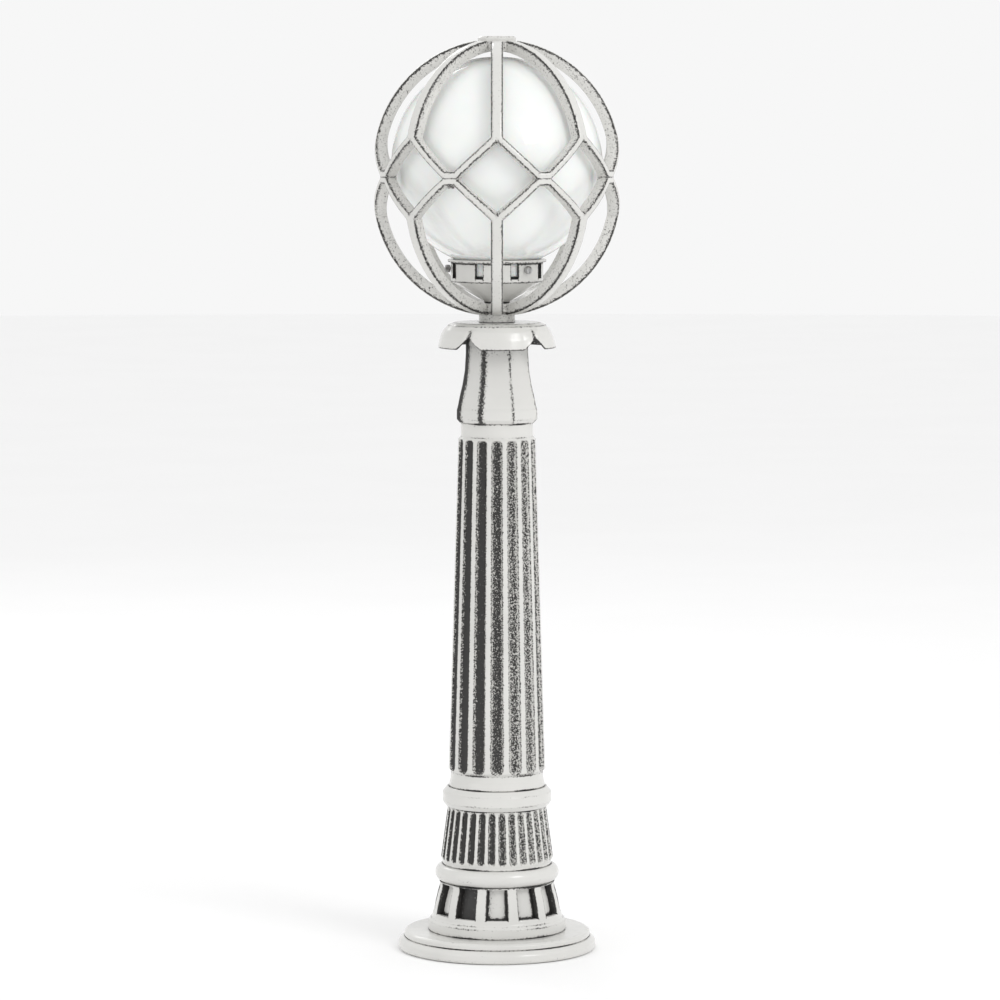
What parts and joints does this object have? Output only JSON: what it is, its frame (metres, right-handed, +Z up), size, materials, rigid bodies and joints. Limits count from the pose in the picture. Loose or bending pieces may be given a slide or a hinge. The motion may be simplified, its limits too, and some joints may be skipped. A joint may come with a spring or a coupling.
{
  "type": "bollard lantern",
  "caption": "Cast garden bollard lantern: fluted column on a stepped round foot, opal globe on a slotted cup inside a hinged ball cage of ribs and diamonds.",
  "frame": {"origin": "on the ground at the column's axis, at the centre of the foot's underside", "axes": "+Z up along the column; -Y is the front; +X is to the right when seen from the front"},
  "size_m": [0.2916, 0.2916, 1.089],
  "materials": {
    "paint": "gloss off-white enamel on cast aluminium, with dark patina in the recesses and fine dark speckle",
    "opal": "glossy opal white glass, opaque when unlit",
    "steel": "stainless screws, dulled",
    "zinc": "zinc-plated steel, matt",
    "brass": "plain brass",
    "rubber": "matt black rubber",
    "nylon": "moulded grey nylon",
    "porcelain": "glazed white porcelain",
    "lamp_glass": "frosted lamp glass"
  },
  "bodies": {
    "column": {"foot": "paint", "pedestal": "paint", "lower_ring": "paint", "drum": "paint", "upper_ring": "paint", "shaft": "paint", "neck": "paint", "neck_screw_1": "steel", "neck_screw_2": "steel", "neck_screw_3": "steel", "collar": "paint", "lower_cage": "paint", "hinge_pin": "steel", "gallery": "paint", "globe_gasket": "rubber", "globe": "opal", "fixing_plate": "zinc", "tie_tube": "zinc", "lower_tube_nut": "zinc", "upper_tube_nut": "zinc", "tube_washer": "zinc", "terminal_block": "nylon", "cable_gland": "nylon", "earth_screw": "brass", "lamp_lead": "rubber", "lamp_holder": "porcelain"},
    "cage_lid": {"upper_cage": "paint", "cage_cap": "paint", "cap_screw": "steel"},
    "closing_screw": {"cage_screw": "steel"},
    "globe_grip_1": {"globe_screw_1": "steel"},
    "globe_grip_2": {"globe_screw_2": "steel"},
    "globe_grip_3": {"globe_screw_3": "steel"},
    "bulb": {"lamp": "lamp_glass"}
  },
  "joints": [
    {"name": "cage_hinge", "type": "hinge", "parent": "column", "child": "cage_lid", "pos_m": [0.05664, 0.13673, 0.9244], "axis": [-0.9239, 0.3827, 0], "range_deg": [0, 105]},
    {"name": "closing_screw_travel", "type": "slide", "parent": "column", "child": "closing_screw", "axis": [0, 0, -1], "range_m": [0, 0.008]},
    {"name": "globe_screw_1_travel", "type": "slide", "parent": "column", "child": "globe_grip_1", "axis": [0.6293, -0.7771, 0], "range_m": [0, 0.0035]},
    {"name": "globe_screw_2_travel", "type": "slide", "parent": "column", "child": "globe_grip_2", "axis": [0, 1, 0], "range_m": [0, 0.0035]},
    {"name": "globe_screw_3_travel", "type": "slide", "parent": "column", "child": "globe_grip_3", "axis": [-1, 0, 0], "range_m": [0, 0.0035]},
    {"name": "lamp_turn", "type": "hinge", "parent": "column", "child": "bulb", "pos_m": [0, 0, 0.8573], "axis": [0, 0, 1], "continuous": true}
  ]
}
